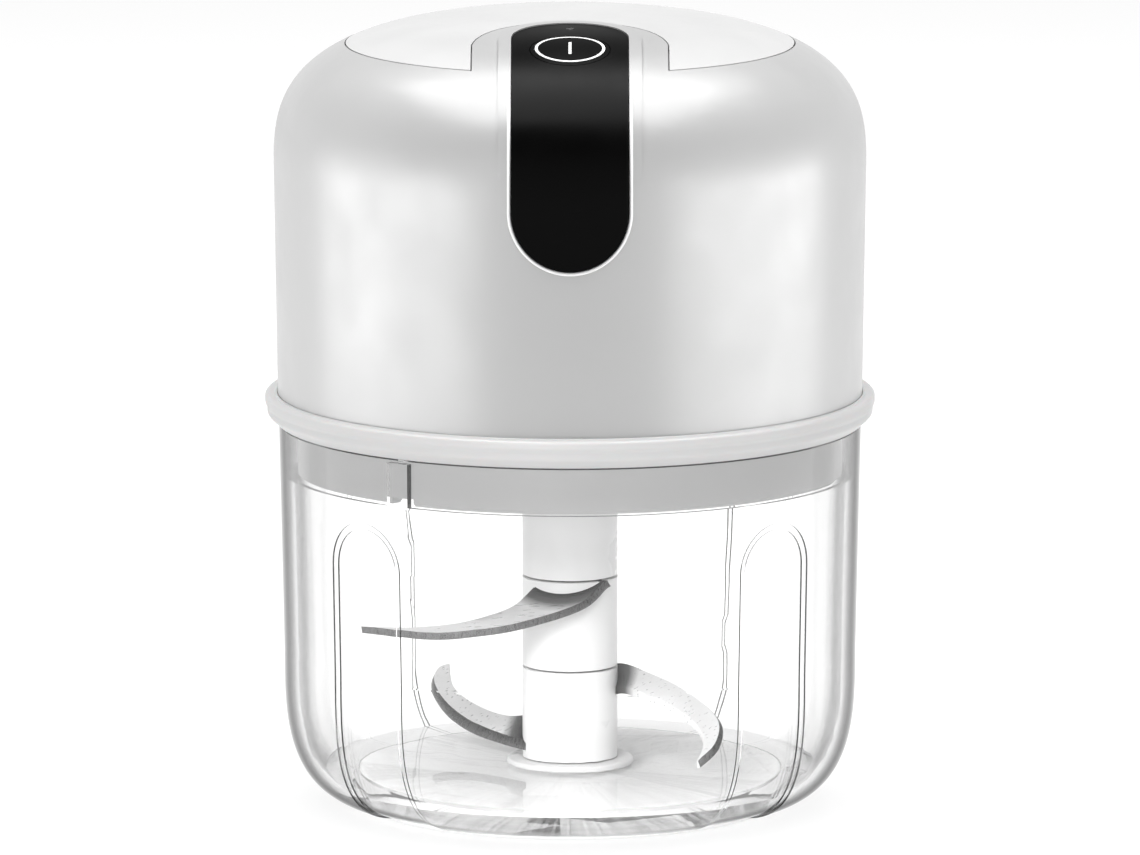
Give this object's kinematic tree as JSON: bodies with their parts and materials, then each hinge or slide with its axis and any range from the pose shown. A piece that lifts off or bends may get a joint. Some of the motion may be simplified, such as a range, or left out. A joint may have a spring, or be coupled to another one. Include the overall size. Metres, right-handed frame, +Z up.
{
  "type": "food processor",
  "caption": "Cordless mini food chopper: domed motor head with a button strip on a clear fluted bowl, with a spinning blade unit, lift-off turning lid and sprung button.",
  "frame": {"origin": "on the table under the middle of the round body", "axes": "+Z up along the blade axis, -Y towards the user, where the button strip is, +X to the user's right"},
  "size_m": [0.0874, 0.0874, 0.1145],
  "materials": {
    "clear_plastic": "clear polished plastic",
    "spindle_steel": "polished steel",
    "pad_silicone": "matt silicone",
    "hub_plastic": "satin white plastic",
    "core_plastic": "moulded",
    "blade_steel": "ground steel with a bevelled edge",
    "seal_silicone": "satin silicone",
    "shell_white": "gloss white",
    "top_plate_white": "satin white",
    "strip_black": "high gloss black",
    "button_black": "high gloss black with a white symbol",
    "led_clear": "clear lens",
    "cover_grey": "fine satin grey",
    "screw_steel": "zinc plated",
    "bush_brass": "sintered",
    "gear_nylon": "natural nylon",
    "coupler_plastic": "moulded black",
    "motor_steel": "plated steel",
    "magnet_ferrite": "sintered",
    "end_cap_plastic": "moulded black",
    "terminal_metal": "tinned",
    "winding_copper": "enamelled copper",
    "cell_wrap": "shrink wrap",
    "cradle_plastic": "moulded",
    "board_green": "solder mask",
    "component_black": "moulded",
    "flap_silicone": "satin silicone"
  },
  "bodies": {
    "bowl": {"bowl": "clear_plastic", "bowl_spindle": "spindle_steel", "non_slip_pad": "pad_silicone"},
    "blade_unit": {"hub_foot": "hub_plastic", "hub_lower": "hub_plastic", "hub_middle": "hub_plastic", "hub_upper": "hub_plastic", "hub_core": "core_plastic", "blade_lower": "blade_steel", "blade_upper": "blade_steel"},
    "seal": {"seal_ring": "seal_silicone"},
    "head": {"head_shell": "shell_white", "top_plate": "top_plate_white", "strip_trim": "strip_black", "led_lens": "led_clear", "base_cover": "cover_grey", "base_screws": "screw_steel", "output_bush": "bush_brass", "ring_gear": "gear_nylon", "gearbox_screws": "screw_steel", "motor_plate": "gear_nylon", "motor_plate_screws": "screw_steel", "motor_screws": "screw_steel", "motor_can": "motor_steel", "motor_bearings": "bush_brass", "motor_magnets": "magnet_ferrite", "motor_end_cap": "end_cap_plastic", "motor_brushes": "magnet_ferrite", "motor_terminals": "terminal_metal", "battery_cell": "cell_wrap", "battery_cradle": "cradle_plastic", "battery_strap": "cradle_plastic", "battery_tab": "terminal_metal", "main_board": "board_green", "board_components": "component_black", "board_posts": "cradle_plastic", "usb_socket": "terminal_metal", "usb_tongue": "end_cap_plastic", "switch_board": "board_green", "tact_switch": "end_cap_plastic", "switch_board_posts": "cradle_plastic"},
    "output": {"planet_carrier": "gear_nylon", "planet_pins": "spindle_steel", "output_shaft": "spindle_steel", "drive_coupler": "coupler_plastic"},
    "planet_1": {"planet_gear_1": "gear_nylon"},
    "planet_2": {"planet_gear_2": "gear_nylon"},
    "planet_3": {"planet_gear_3": "gear_nylon"},
    "rotor": {"rotor_shaft": "spindle_steel", "rotor_core": "motor_steel", "rotor_windings": "winding_copper", "commutator": "bush_brass", "sun_gear": "gear_nylon"},
    "button": {"button_cap": "button_black", "switch_plunger": "end_cap_plastic"},
    "usb_flap": {"usb_cover": "flap_silicone"}
  },
  "joints": [
    {"name": "blade_spin", "type": "hinge", "parent": "bowl", "child": "blade_unit", "pos_m": [0, 0, 0.03], "axis": [0, 0, 1], "continuous": true},
    {"name": "lid_lift", "type": "slide", "parent": "bowl", "child": "seal", "axis": [0, 0, 1], "range_m": [0, 0.07]},
    {"name": "lid_twist", "type": "hinge", "parent": "seal", "child": "head", "pos_m": [0, 0, 0.06], "axis": [0, 0, 1], "range_deg": [0, 70]},
    {"name": "output_spin", "type": "hinge", "parent": "head", "child": "output", "pos_m": [0, 0, 0.06], "axis": [0, 0, 1], "continuous": true},
    {"name": "planet_1_spin", "type": "hinge", "parent": "output", "child": "planet_1", "pos_m": [0, -0.009, 0.0667], "axis": [0, 0, 1], "continuous": true},
    {"name": "planet_2_spin", "type": "hinge", "parent": "output", "child": "planet_2", "pos_m": [0.00779, 0.0045, 0.0667], "axis": [0, 0, 1], "continuous": true},
    {"name": "planet_3_spin", "type": "hinge", "parent": "output", "child": "planet_3", "pos_m": [-0.00779, 0.0045, 0.0667], "axis": [0, 0, 1], "continuous": true},
    {"name": "rotor_spin", "type": "hinge", "parent": "head", "child": "rotor", "pos_m": [0, 0, 0.085], "axis": [0, 0, 1], "continuous": true},
    {"name": "button_press", "type": "slide", "parent": "head", "child": "button", "axis": [0, 0.225, -0.9744], "range_m": [0, 0.0006], "stiffness_N_per_m": 1500, "springref_m": -0.0004},
    {"name": "usb_flap_open", "type": "hinge", "parent": "head", "child": "usb_flap", "pos_m": [0.007, 0.0415, 0.0774], "axis": [0, 0, -1], "range_deg": [0, 110]}
  ],
  "couplings": [
    {"joint": "output_spin", "follows": "blade_spin", "ratio": 1},
    {"joint": "rotor_spin", "follows": "blade_spin", "ratio": 5},
    {"joint": "planet_1_spin", "follows": "blade_spin", "ratio": -2.6667},
    {"joint": "planet_2_spin", "follows": "blade_spin", "ratio": -2.6667},
    {"joint": "planet_3_spin", "follows": "blade_spin", "ratio": -2.6667}
  ]
}
